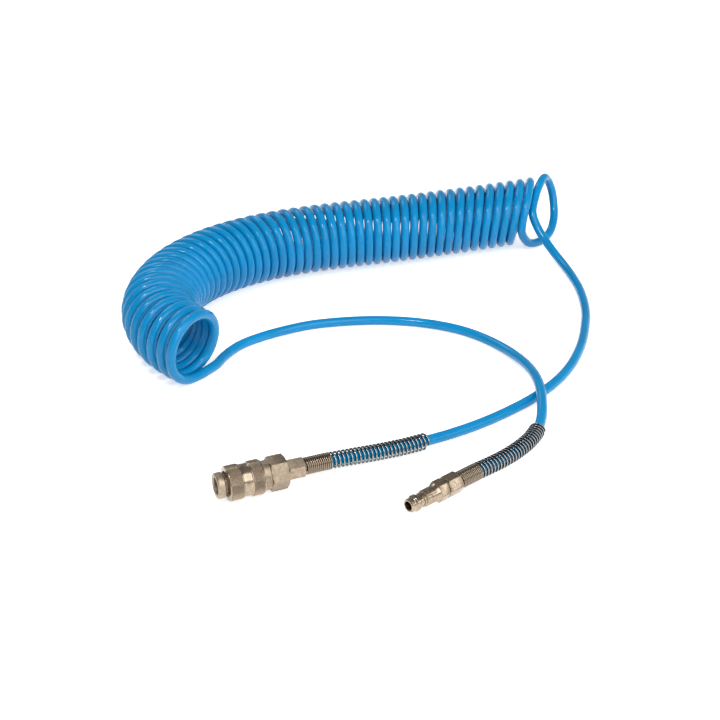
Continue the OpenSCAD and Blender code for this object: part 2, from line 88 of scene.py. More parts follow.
# Route of the lead from the coupler's nut to the coil's right end, in millimetres
COUPLER_ROUTE = [
    (-43, 29.5, 12.75), (-23, 30, 11.5), (-3, 31.5, 9.5), (17, 33.5, 7.75), (37, 36, 6.75),
    (57, 39.5, 5.5), (78, 44, 4.5), (99, 49.5, 4), (120, 56, 4), (141, 64, 4), (161, 74, 4),
    (181, 86.5, 4), (199, 101, 4), (216, 118, 4), (232, 137, 4), (247, 158, 4), (261, 180, 4),
    (273, 204, 4), (283, 229, 4), (290, 253, 4), (294, 274.5, 5.5), (294.5, 293.5, 9.75),
    (292.5, 308.5, 17.25), (290, 321, 27), (290, 331.5, 38), (298, 342, 48), (308.5, 353, 55.5),
    (319, 363, 58), (327, 369.5, 52.5), (332.5, 370, 41.5), (333, 365, 29), (329, 356, 17),
    (320.5, 346.5, 8.5), (309, 338.5, 4.9), (297, 333, 4.7), (286.5, 329.5, 7.75),
    (279.5, 327, 15),
]

# Route of the lead from the plug's nut to the coil's left end, in millimetres
PLUG_ROUTE = [
    (52, -16.5, 7), (72, -10.5, 6.75), (90, -3.5, 6.75), (107, 6, 6.75), (121.5, 18, 6.75),
    (132.5, 31.5, 8), (141.5, 47, 10.5), (149.5, 64, 12.5), (156.5, 84, 12), (161.5, 105, 9.5),
    (164, 127, 6.5), (163, 149, 4.5), (157, 171, 4), (147, 191, 4), (133, 208, 4),
    (116, 222.5, 4), (97, 234, 4), (76, 243, 4), (53, 249.5, 4), (30, 253, 4), (7, 252, 4),
    (-15, 248.5, 4), (-34, 242.5, 4), (-46.5, 235, 4), (-57.5, 225.5, 4), (-67, 215.5, 4),
]

# Springs inside the coupler
SLEEVE_WIRE = 1.1 * MM
VALVE_WIRE = 0.8 * MM
INNER_CURLS = 3.5

# How finely lines are drawn: a turn of the coil or of an inner spring, the stretch between two
# points of a route, and a turn of a bend-guard spring
STEPS_PER_TURN = 32
STEPS_PER_POINT = 6
WIRE_STEPS = 16

# A step along the coil, in turns or in points of its route, that is short enough for a heading
NEAR = 0.001

# How round the hose and the wires are: four sides to a section, and two more for each of these
HOSE_ROUNDNESS = 6
WIRE_ROUNDNESS = 3

# Points nearer to each other than this are one point
SAME_PLACE = 1e-6

# Angles between faces, in degrees: parts of one flat face, and edges that get broken
ONE_FACE = 0.5
SHARP_EDGE = 28

# Angles from which an edge is shaded as one, in degrees
FITTING_SHADING = 35
SLEEVE_SHADING = 30
WIRE_SHADING = 50

# Square lamps, aimed at the middle of the hose: place, side and power in watts
LAMPS = {
    "front_light": ((0.3, -1.25, 1.3), 1.7, 24),
    "side_light": ((1.5, -1.0, 0.7), 0.7, 3.2),
    "back_light": ((-0.3, 2.2, 1.9), 1.2, 11),
    "spark_light": ((-0.65, -0.35, 1.6), 0.24, 9),
}
LAMPS_AIM = Vector((0.05, 0.18, 0))

# The sky fades from the horizon upwards: height as a share of straight up, and brightness
HORIZON = (0.05, 1.0)
SKY = (0.35, 0.27)

# The floor's side, and how much brighter it looks than it is lit, where 1 is white
FLOOR_SIZE = 14
FLOOR_GLOW = 0.6

# Attribute of a piece: 1 where it stands out and gets painted highlight, 0 where it gets
# painted shade
CREST = "crest"


# ---------------------------------------------------------------------------
# Sizes and colours that a user would change
# ---------------------------------------------------------------------------

class HoseSettings(bpy.types.PropertyGroup):
    """The hose, its coil and its colour"""

    diameter: bpy.props.FloatProperty(
        name="Diameter", description="Outer diameter of the hose",
        default=8 * MM, min=4 * MM, max=12 * MM, unit="LENGTH",
    )
    coil_radius: bpy.props.FloatProperty(
        name="Coil radius", description="Mean radius of the coil's turns",
        default=27.5 * MM, min=15 * MM, max=60 * MM, unit="LENGTH",
    )
    turns: bpy.props.FloatProperty(
        name="Turns", description="Turns in the coil", default=49.75, min=4, max=60,
    )
    colour: bpy.props.FloatVectorProperty(
        name="Hose colour", description="Blue of the polyurethane",
        subtype="COLOR", size=3, default=(0.001, 0.25, 0.55), min=0, max=1,
    )


class SpringSettings(bpy.types.PropertyGroup):
    """The bend-guard springs behind the union nuts"""

    wire: bpy.props.FloatProperty(
        name="Wire", description="Diameter of the spring's wire",
        default=1.65 * MM, min=0.5 * MM, max=2 * MM, unit="LENGTH",
    )
    diameter: bpy.props.FloatProperty(
        name="Diameter", description="Outer diameter of the springs",
        default=13 * MM, min=10 * MM, max=20 * MM, unit="LENGTH",
    )
    close_length: bpy.props.FloatProperty(
        name="Close length", description="Length of the part with touching turns",
        default=20 * MM, min=5 * MM, max=40 * MM, unit="LENGTH",
    )
    close_turns: bpy.props.IntProperty(
        name="Close turns", description="Turns that touch", default=13, min=3, max=30,
    )
    open_turns: bpy.props.IntProperty(
        name="Open turns", description="Turns with gaps between them",
        default=25, min=5, max=50,
    )
    colour: bpy.props.FloatVectorProperty(
        name="Spring colour", description="Plated spring steel",
        subtype="COLOR", size=3, default=(0.42, 0.44, 0.44), min=0, max=1,
    )


class FittingSettings(bpy.types.PropertyGroup):
    """The coupler and the plug"""

    knurl_count: bpy.props.IntProperty(
        name="Knurls", description="Diamonds round the sleeve", default=56, min=24, max=120,
    )
    knurl_depth: bpy.props.FloatProperty(
        name="Knurl depth", description="Depth of the knurled diamonds",
        default=0.38 * MM, min=0, max=0.6 * MM, unit="LENGTH",
    )
    edge: bpy.props.FloatProperty(
        name="Edge", description="Width of the broken edges",
        default=0.25 * MM, min=0.05 * MM, max=0.6 * MM, unit="LENGTH",
    )
    colour: bpy.props.FloatVectorProperty(
        name="Nickel colour", description="Nickel plating over brass",
        subtype="COLOR", size=3, default=(0.41, 0.327, 0.24), min=0, max=1,
    )


class StageSettings(bpy.types.PropertyGroup):
    """Camera, light and floor"""

    elevation: bpy.props.FloatProperty(
        name="Elevation", description="Camera above the horizon",
        default=math.radians(28), subtype="ANGLE",
    )
    heading: bpy.props.FloatProperty(
        name="Heading", description="Camera's turn from looking along +Y, to the right",
        default=math.radians(23), subtype="ANGLE",
    )
    distance: bpy.props.FloatProperty(
        name="Distance", description="Camera to the point that it looks at",
        default=1.1735, unit="LENGTH",
    )
    lens: bpy.props.FloatProperty(
        name="Lens", description="Focal length in millimetres on a 36 mm sensor",
        default=70.8,
    )
    target: bpy.props.FloatVectorProperty(
        name="Target", description="Point on the floor in the middle of the view",
        subtype="TRANSLATION", size=3, default=(0.0475, 0.184, 0),
    )
    floor_colour: bpy.props.FloatVectorProperty(
        name="Floor colour", description="White paper floor",
        subtype="COLOR", size=3, default=(0.93, 0.93, 0.93), min=0, max=1,
    )


class AirHoseSettings(bpy.types.PropertyGroup):
    """All settings of the air hose"""

    hose: bpy.props.PointerProperty(type=HoseSettings)
    spring: bpy.props.PointerProperty(type=SpringSettings)
    fitting: bpy.props.PointerProperty(type=FittingSettings)
    stage: bpy.props.PointerProperty(type=StageSettings)


# ---------------------------------------------------------------------------
# Lines
# ---------------------------------------------------------------------------

def knot(points, i):
    """Point i, with one more in line past each end"""
    if i < 0:
        return 2 * points[0] - points[1]
    if i >= len(points):
        return 2 * points[-1] - points[-2]
    return points[i]


def beside(points, t):
    """Uniform cubic B-spline beside the points, from the first to the last"""
    i = min(int(t), len(points) - 2)
    w = t - i
    a, b, c, d = (knot(points, i + step) for step in (-1, 0, 1, 2))
    return (
        (1 - w) ** 3 * a
        + (3 * w ** 3 - 6 * w ** 2 + 4) * b
        + (-3 * w ** 3 + 3 * w ** 2 + 3 * w + 1) * c
        + w ** 3 * d
    ) / 6


def through(points, t):
    """Catmull-Rom curve through the points"""
    i = min(int(t), len(points) - 2)
    w = t - i
    a, b, c, d = (knot(points, i + step) for step in (-1, 0, 1, 2))
    return (
        2 * b + (c - a) * w + (2 * a - 5 * b + 4 * c - d) * w ** 2
        + (3 * b - a - 3 * c + d) * w ** 3
    ) / 2


def smooth_line(points):
    """Points close together on the curve through a route"""
    count = (len(points) - 1) * STEPS_PER_POINT
    return [through(points, i / STEPS_PER_POINT) for i in range(count + 1)]


def coil_point(turn, hose):
    """Centre of the hose, this many turns from the coil's right end"""
    route = [Vector(p) for p in COIL_ROUTE]
    last = len(route) - 1
    t = turn / hose.turns * last
    place = beside(route, t)
    step = beside(route, min(t + NEAR, last)) - beside(route, max(t - NEAR, 0))
    along = Vector((step.x, step.y, 0)).normalized()
    out = Vector((along.y, -along.x, 0))
    angle = math.pi - 2 * math.pi * turn
    r = hose.coil_radius
    lean, turned = math.radians(place[2]), math.radians(place[3])
    set_back = math.tan(lean) * math.sin(angle) + math.tan(turned) * math.cos(angle)
    centre = Vector((place.x * MM, place.y * MM, r + hose.diameter / 2))
    return centre + r * (math.cos(angle) * out + math.sin(angle) * UP - set_back * along)


def coil_stub(turn, step, hose):
    """Point one diameter straight past an end of the coil; step leads into the coil"""
    end = coil_point(turn, hose)
    return end + hose.diameter * (end - coil_point(turn + step, hose)).normalized()


def coupler_lead_line(hose):
    """Centre line of the lead from inside the coupler's nut to the coil"""
    return smooth_line([
        COUPLER_NUT_REAR - HOSE_IN_NUT * COUPLER_AXIS, COUPLER_NUT_REAR,
        *(Vector(p) * MM for p in COUPLER_ROUTE),
        coil_stub(0, NEAR, hose),
    ]) + [coil_point(0, hose)]


def plug_lead_line(hose):
    """Centre line of the lead from inside the plug's nut to the coil"""
    return smooth_line([
        PLUG_NUT_REAR - HOSE_IN_NUT * PLUG_AXIS, PLUG_NUT_REAR,
        *(Vector(p) * MM for p in PLUG_ROUTE),
        coil_stub(hose.turns, -NEAR, hose),
    ]) + [coil_point(hose.turns, hose)]


def coil_line(hose):
    """Centre line of the coil without its two end points"""
    count = math.ceil(hose.turns * STEPS_PER_TURN)
    return [coil_point(i / STEPS_PER_TURN, hose) for i in range(1, count)]


def walker(line):
    """A function that gives the place and heading at a distance along a line"""
    far = [0.0]
    for a, b in zip(line, line[1:]):
        far.append(far[-1] + (b - a).length)

    def at(distance):
        """The place at a distance, in line with the end stretches past the ends"""
        i = max(k for k in range(len(far) - 1) if far[k] <= max(distance, 0))
        share = (distance - far[i]) / (far[i + 1] - far[i])
        return line[i].lerp(line[i + 1], share)

    def walk(distance, reach=2 * MM):
        """The place at a distance, and the heading over a short reach on both sides"""
        heading = (at(distance + reach) - at(distance - reach)).normalized()
        return at(distance), heading

    return walk


# ---------------------------------------------------------------------------
# Making and finishing pieces
# ---------------------------------------------------------------------------

def deselect_all():
    """Leaves nothing selected"""
    for obj in bpy.context.selected_objects:
        obj.select_set(False)


def select_only(obj):
    """Makes one object the only one that is selected, and the active one"""
    deselect_all()
    obj.select_set(True)
    bpy.context.view_layer.objects.active = obj


def new_object(name, data):
    """A new object in the scene, selected by itself"""
    obj = bpy.data.objects.new(name, data)
    bpy.context.scene.collection.objects.link(obj)
    select_only(obj)
    return obj


def tube(name, line, diameter, resolution):
    """A round tube along a line, with closed ends"""
    curve = bpy.data.curves.new(name, "CURVE")
    curve.dimensions = "3D"
    curve.twist_mode = "MINIMUM"
    curve.bevel_depth = diameter / 2
    curve.bevel_resolution = resolution
    curve.use_fill_caps = True
    spline = curve.splines.new("POLY")
    spline.points.add(len(line) - 1)
    for point, place in zip(spline.points, line):
        point.co = (*place, 1)
    spline.use_smooth = True
    return new_object(name, curve)


def wire_piece(name, line, diameter):
    """A wire along a line, as a smooth mesh"""
    piece = tube(name, line, diameter, WIRE_ROUNDNESS)
    bpy.ops.object.convert(target="MESH")
    smooth_shading(piece, WIRE_SHADING)
    return piece


def belongs(piece, body, slot, *nodes):
    """The piece rides on a body and stands for CAD nodes, which are hidden; slot, its finish,
    is not used
    """
    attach(piece, body)
    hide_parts(*nodes)


def smooth_shading(piece, degrees):
    """Shades faces as one surface where they meet at less than an angle"""
    select_only(piece)
    bpy.ops.object.shade_smooth_by_angle(angle=math.radians(degrees))


def apply_modifiers(piece):
    """Turns the piece's modifiers into its mesh"""
    select_only(piece)
    for modifier in list(piece.modifiers):
        bpy.ops.object.modifier_apply(modifier=modifier.name)


def with_broken_edges(node, name, width):
    """A copy of a CAD node with its edges broken by a small bevel"""
    piece = new_object(name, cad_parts[node].data.copy())
    bpy.ops.object.mode_set(mode="EDIT")
    bpy.ops.mesh.select_all(action="SELECT")
    bpy.ops.mesh.remove_doubles(threshold=SAME_PLACE)
    bpy.ops.mesh.dissolve_limited(angle_limit=math.radians(ONE_FACE))
    bpy.ops.object.mode_set(mode="OBJECT")
    bevel = piece.modifiers.new("broken edges", "BEVEL")
    bevel.width = width
    bevel.segments = 3
    bevel.limit_method = "ANGLE"
    bevel.angle_limit = math.radians(SHARP_EDGE)
    bevel.use_clamp_overlap = True
    apply_modifiers(piece)
    smooth_shading(piece, FITTING_SHADING)
    return piece


def mark_crests(mesh, amounts):
    """Writes the attribute from which the finishes paint their highlights and shade"""
    mesh.attributes.new(CREST, "FLOAT", "POINT").data.foreach_set("value", amounts)


def paint(piece, material):
    """Gives a new piece one material"""
    piece.data.materials.clear()
    piece.data.materials.append(material)


def paint_node(node, material):
    """Gives a CAD node its finish without touching its mesh"""
    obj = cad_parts[node]
    if not obj.material_slots:
        obj.data.materials.append(material)
    for slot in obj.material_slots:
        slot.material = material


# ---------------------------------------------------------------------------
# Materials
# ---------------------------------------------------------------------------

class Shader:
    """A material's node tree with short calls to add and join its nodes"""

    def __init__(self, name):
        self.material = bpy.data.materials.new(name)
        self.material.use_nodes = True
        self.tree = self.material.node_tree
        self.surface = self.tree.nodes["Principled BSDF"]

    def node(self, kind, **values):
        """A new node with its properties set"""
        made = self.tree.nodes.new(kind)
        for key, value in values.items():
            setattr(made, key, value)
        return made

    def join(self, out, into):
        """Links an output to an input"""
        self.tree.links.new(out, into)

    def set(self, **values):
        """Sets numbers and colours on the surface's own sockets"""
        for key, value in values.items():
            self.surface.inputs[key.replace("_", " ")].default_value = value

    def place(self, turn=0.0, scale=(1, 1, 1)):
        """Object coordinates, turned about the vertical and stretched"""
        coordinates = self.node("ShaderNodeTexCoord")
        turned = self.node("ShaderNodeMapping")
        turned.inputs["Rotation"].default_value = (0, 0, -turn)
        stretched = self.node("ShaderNodeMapping")
        stretched.inputs["Scale"].default_value = scale
        self.join(coordinates.outputs["Object"], turned.inputs["Vector"])
        self.join(turned.outputs["Vector"], stretched.inputs["Vector"])
        return stretched.outputs["Vector"]

    def by_crest(self, in_hollows, on_crests, start, end):
        """From the hollows' value to the crests' value by the piece's attribute; as colour,
        painted shade to painted highlight
        """
        attribute = self.node("ShaderNodeAttribute", attribute_name=CREST)
        return self.ramp(attribute.outputs["Fac"], in_hollows, on_crests, start, end)

    def tinted(self, colour, tint):
        """One colour times another"""
        mix = self.node("ShaderNodeMix", data_type="RGBA", blend_type="MULTIPLY")
        mix.inputs["Factor"].default_value = 1
        self.join(colour, mix.inputs["A"])
        self.join(tint, mix.inputs["B"])
        return mix.outputs["Result"]

    def noise(self, place, scale, detail=3.0, roughness=0.5):
        """Noise at a place; the scale is in cells to the metre"""
        texture = self.node("ShaderNodeTexNoise")
        texture.inputs["Scale"].default_value = scale
        texture.inputs["Detail"].default_value = detail
        texture.inputs["Roughness"].default_value = roughness
        self.join(place, texture.inputs["Vector"])
        return texture.outputs["Fac"]

    def ramp(self, factor, low, high, start=0.3, end=0.7):
        """Runs from low to high; each is a number or a colour"""
        ramp = self.node("ShaderNodeValToRGB")
        for stop, place, value in zip(ramp.color_ramp.elements, (start, end), (low, high)):
            stop.position = place
            stop.color = (*value, 1) if hasattr(value, "__len__") else (value, value, value, 1)
        self.join(factor, ramp.inputs["Fac"])
        return ramp.outputs["Color"]

    def bump(self, height, strength, depth, under=None):
        """Normals bumped by a height, over another bump if there is one"""
        bump = self.node("ShaderNodeBump")
        bump.inputs["Strength"].default_value = strength
        bump.inputs["Distance"].default_value = depth
        self.join(height, bump.inputs["Height"])
        if under is not None:
            self.join(under, bump.inputs["Normal"])
        return bump.outputs["Normal"]

    def seen_directly(self, amount):
        """The amount for camera, glossy and transmission rays, and 0 for other rays"""
        rays = self.node("ShaderNodeLightPath")
        total = rays.outputs["Is Camera Ray"]
        for ray in ("Is Glossy Ray", "Is Transmission Ray"):
            either = self.node("ShaderNodeMath", operation="MAXIMUM")
            self.join(total, either.inputs[0])
            self.join(rays.outputs[ray], either.inputs[1])
            total = either.outputs["Value"]
        scaled = self.node("ShaderNodeMath", operation="MULTIPLY")
        self.join(total, scaled.inputs[0])
        scaled.inputs[1].default_value = amount
        return scaled.outputs["Value"]

    def use(self, **links):
        """Links outputs to the surface's sockets"""
        for key, out in links.items():
            self.join(out, self.surface.inputs[key.replace("_", " ")])


def shade(colour, share):
    """A colour made darker or lighter"""
    return tuple(min(1.0, c * share) for c in colour)


def hose_material(colour):
    """Glossy polyurethane with faint clouding, fine scuffs and extrusion waves"""
    shader = Shader("polyurethane_blue")
    shader.set(Specular_IOR_Level=0.3)
    place = shader.place()
    cloud = shader.noise(place, scale=28)
    scuffs = shader.noise(place, scale=900, detail=4, roughness=0.6)
    waves = shader.noise(place, scale=90, detail=1)
    shader.use(
        Base_Color=shader.ramp(cloud, shade(colour, 0.92), shade(colour, 1.1)),
        Roughness=shader.ramp(scuffs, 0.1, 0.24, start=0.35, end=0.75),
        Normal=shader.bump(waves, strength=0.05, depth=0.2 * MM),
    )
    return shader.material


def nickel_material(name, colour, roughness, turn=0.0, grain_bump=0.15):
    """Nickel plating with the fine rings of the lathe round the fitting's axis"""
    shader = Shader(name)
    shader.set(Metallic=1.0)
    rings = shader.noise(shader.place(turn, scale=(1, 0.02, 0.02)), scale=3200, detail=2)
    stain = shader.noise(shader.place(turn), scale=420)
    grain = shader.noise(shader.place(turn), scale=1500)
    grainy = shader.bump(grain, grain_bump, depth=0.05 * MM)
    shader.use(
        Base_Color=shader.ramp(stain, shade(colour, 0.72), shade(colour, 1.16)),
        Roughness=shader.ramp(grain, roughness - 0.06, roughness + 0.08),
        Normal=shader.bump(rings, strength=0.12, depth=0.05 * MM, under=grainy),
    )
    return shader.material


def knurl_material(colour):
    """Nickel knurling: painted highlight and less roughness on its points, painted shade in its
    valleys
    """
    shader = Shader("nickel_knurl")
    shader.set(Metallic=1.0)
    stain = shader.noise(shader.place(), scale=220)
    # Painted shade in the knurl's valleys and a painted highlight on its points
    in_hollows, on_crests = shade(colour, 0.5), shade(colour, 1.65)
    shader.use(
        Base_Color=shader.tinted(
            shader.ramp(stain, 0.85, 1),
            shader.by_crest(in_hollows, on_crests, start=0.15, end=0.85),
        ),
        Roughness=shader.by_crest(0.45, 0.22, start=0.2, end=0.9),
    )
    return shader.material


def wire_material(name, colour, in_hollows, roughness):
    """Spring wire in its own colour on the outside of each turn, with painted shade on its
    flanks
    """
    shader = Shader(name)
    shader.set(Metallic=1.0)
    grain = shader.noise(shader.place(), scale=900)
    shader.use(
        # Painted shade on the flanks of each turn, running to the wire's own colour on its
        # outside
        Base_Color=shader.tinted(
            shader.ramp(grain, 0.82, 1),
            shader.by_crest(shade(colour, in_hollows), colour, start=0.6, end=0.97),
        ),
        Roughness=shader.ramp(grain, roughness - 0.05, roughness + 0.07),
    )
    return shader.material


def steel_material(name, colour, roughness):
    """Plated steel with faint drawing marks"""
    shader = Shader(name)
    shader.set(Metallic=1.0)
    grain = shader.noise(shader.place(), scale=900)
    shader.use(
        Base_Color=shader.ramp(grain, shade(colour, 0.88), shade(colour, 1.08)),
        Roughness=shader.ramp(grain, roughness - 0.05, roughness + 0.07),
    )
    return shader.material


def rubber_material():
    """Black nitrile rubber"""
    shader = Shader("seal_rubber")
    grain = shader.noise(shader.place(), scale=700)
    shader.use(
        Base_Color=shader.ramp(grain, 0.018, 0.03),
        Roughness=shader.ramp(grain, 0.5, 0.65),
        Normal=shader.bump(grain, strength=0.1, depth=0.05 * MM),
    )
    return shader.material


def paper_material(colour):
    """White paper floor, a little brighter to the eye and in reflections than it is lit"""
    shader = Shader("paper_floor")
    shader.set(
        Roughness=0.9, Specular_IOR_Level=0.1,
        Base_Color=(*colour, 1), Emission_Color=(1, 1, 1, 1),
    )
    shader.use(Emission_Strength=shader.seen_directly(FLOOR_GLOW))
    return shader.material


# ---------------------------------------------------------------------------
# Operators, one for each piece or group of pieces
# ---------------------------------------------------------------------------

class AIRHOSE_OT_stage(bpy.types.Operator):
    """Camera, soft light and a white floor"""

    bl_idname = "airhose.stage"
    bl_label = "Stage"

    def execute(self, context):
        stage = context.scene.air_hose.stage
        self.add_camera(context.scene, stage)
        for name, (place, side, power) in LAMPS.items():
            self.add_lamp(context.scene, name, place, side, power)
        self.add_sky(context.scene)
        deselect_all()
        bpy.ops.mesh.primitive_plane_add(size=FLOOR_SIZE, location=(0, 0, 0))
        floor = context.object
        floor.name = "floor"
        paint(floor, paper_material(stage.floor_colour))
        return {"FINISHED"}

    def add_camera(self, scene, stage):
        """The camera, upright and aimed at the stage's target"""
        target = Vector(stage.target)
        level = Vector((math.sin(stage.heading), math.cos(stage.heading), 0))
        look = math.cos(stage.elevation) * level - math.sin(stage.elevation) * UP
        data = bpy.data.cameras.new("camera")
        data.sensor_width = 36
        data.lens = stage.lens
        camera = bpy.data.objects.new("camera", data)
        camera.location = target - stage.distance * look
        camera.rotation_mode = "QUATERNION"
        camera.rotation_quaternion = look.to_track_quat("-Z", "Y")
        scene.collection.objects.link(camera)
        scene.camera = camera

    def add_lamp(self, scene, name, place, side, power):
        """A square soft light"""
        data = bpy.data.lights.new(name, "AREA")
        data.shape = "SQUARE"
        data.size = side
        data.energy = power
        lamp = bpy.data.objects.new(name, data)
        lamp.location = place
        lamp.rotation_mode = "QUATERNION"
        lamp.rotation_quaternion = (LAMPS_AIM - Vector(place)).to_track_quat("-Z", "Y")
        scene.collection.objects.link(lamp)

    def add_sky(self, scene):
        """A white horizon under a grey sky"""
        world = bpy.data.worlds.new("studio")
        world.use_nodes = True
        scene.world = world
        tree = world.node_tree
        direction = tree.nodes.new("ShaderNodeTexCoord")
        split = tree.nodes.new("ShaderNodeSeparateXYZ")
        ramp = tree.nodes.new("ShaderNodeValToRGB")
        for stop, (height, grey) in zip(ramp.color_ramp.elements, (HORIZON, SKY)):
            stop.position = height
            stop.color = (grey, grey, grey, 1)
        tree.links.new(direction.outputs["Generated"], split.inputs["Vector"])
        tree.links.new(split.outputs["Z"], ramp.inputs["Fac"])
        tree.links.new(ramp.outputs["Color"], tree.nodes["Background"].inputs["Color"])


class AIRHOSE_OT_hose(bpy.types.Operator):
    """The hose: one length from the coupler through the coil to the plug"""

    bl_idname = "airhose.hose"
    bl_label = "Hose"

    def execute(self, context):
        hose = context.scene.air_hose.hose
        line = [
            *coupler_lead_line(hose),
            *coil_line(hose),
            *reversed(plug_lead_line(hose)),
        ]
        piece = tube("hose", line, hose.diameter, HOSE_ROUNDNESS)
        paint(piece, hose_material(hose.colour))
        belongs(piece, "base", "hose_blue", "hose_coil", "coupler_lead", "plug_lead")
        return {"FINISHED"}


class AIRHOSE_OT_bend_springs(bpy.types.Operator):
    """The bend-guard springs: close turns behind the nut, then open turns"""

    bl_idname = "airhose.bend_springs"
    bl_label = "Bend-guard springs"

    def execute(self, context):
        settings = context.scene.air_hose
        hose = settings.hose
        # The wire's flanks take painted shade: 0.35 of its colour on the close turns, 0.1 on
        # the open ones
        close_wire = wire_material(
            "plated_wire_close", shade(settings.fitting.colour, 0.8), in_hollows=0.35, roughness=0.2
        )
        open_wire = wire_material(
            "plated_wire_open", settings.spring.colour, in_hollows=0.1, roughness=0.16
        )
        lines = {
            "coupler_bend_spring": (coupler_lead_line(hose), COUPLER_GUARD),
            "plug_bend_spring": (plug_lead_line(hose), PLUG_GUARD),
        }
        for node, (line, length) in lines.items():
            piece = self.wind(node, line, length, settings.spring)
            piece.data.materials.append(close_wire)
            piece.data.materials.append(open_wire)
            self.paint_open_turns(piece, line, settings.spring.close_length)
            belongs(piece, "base", "spring_steel", node)
        return {"FINISHED"}

    def wind(self, node, line, length, spring):
        """One wire wound round the lead from the nut's rear face"""
        walk = walker(line)
        radius = (spring.diameter - spring.wire) / 2
        turns = spring.close_turns + spring.open_turns
        wire, outwards = [], []
        for i in range(turns * WIRE_STEPS + 1):
            turn = i / WIRE_STEPS
            centre, heading = walk(HOSE_IN_NUT + self.reach(turn, length, spring))
            across = heading.cross(UP).normalized()
            up = across.cross(heading)
            angle = 2 * math.pi * turn
            outwards.append(math.cos(angle) * across - math.sin(angle) * up)
            wire.append(centre + radius * outwards[-1])
        piece = wire_piece(node.replace("bend_", "guard_"), wire, spring.wire)
        # The two end caps have points of their own, which come first
        ring = len(piece.data.vertices) // (len(wire) + 2)
        caps = 2 * ring
        crests = [0.0] * caps
        for count, vertex in enumerate(piece.data.vertices[caps:]):
            i = count // ring
            crests.append((vertex.co - wire[i]).dot(outwards[i]) / (spring.wire / 2))
        mark_crests(piece.data, crests)
        return piece

    def reach(self, turn, length, spring):
        """How far along the hose a turn lies"""
        start = spring.wire / 2
        if turn < spring.close_turns:
            return start + (spring.close_length - start) * turn / spring.close_turns
        share = (turn - spring.close_turns) / spring.open_turns
        return spring.close_length + (length - spring.close_length) * share

    def paint_open_turns(self, piece, line, close_length):
        """Faces past the close turns take the second material"""
        centre, heading = walker(line)(HOSE_IN_NUT + close_length)
        for face in piece.data.polygons:
            face.material_index = int((face.center - centre).dot(heading) > 0)


